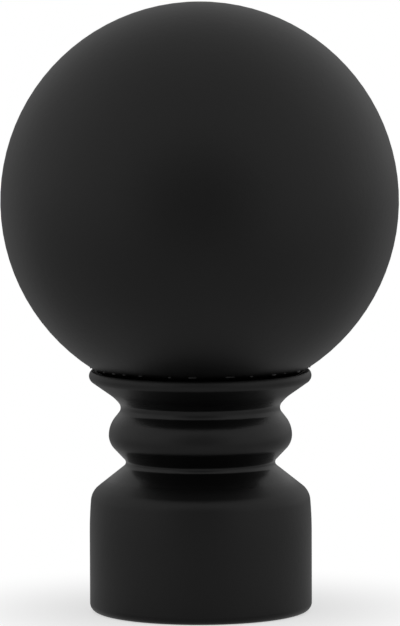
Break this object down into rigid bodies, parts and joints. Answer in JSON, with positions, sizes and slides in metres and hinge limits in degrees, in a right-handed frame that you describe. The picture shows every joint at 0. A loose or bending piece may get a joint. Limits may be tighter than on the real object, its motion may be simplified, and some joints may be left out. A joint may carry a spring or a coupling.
{
  "type": "curtain pole finial",
  "caption": "Satin black ball finial whose turned collar ends in a socket that slides over a curtain pole's end and is held by a grub screw.",
  "frame": {"origin": "centre of the socket's mouth, in the plane of the rim that the finial stands on", "axes": "+Z along the pole's axis from the socket's mouth up through the ball; +Y towards the back, where the grub screw is"},
  "size_m": [0.06, 0.06, 0.0921],
  "materials": {
    "satin_black_ball": "satin black paint on a hollow steel ball",
    "satin_black_collar": "satin black paint on a cast and turned collar",
    "zinc_plated_steel": "bright zinc plating",
    "black_oxide_steel": "black oxide"
  },
  "bodies": {
    "root": {"ball": "satin_black_ball", "collar": "satin_black_collar", "fixing_screw": "zinc_plated_steel", "grub_screw": "black_oxide_steel"}
  },
  "joints": []
}
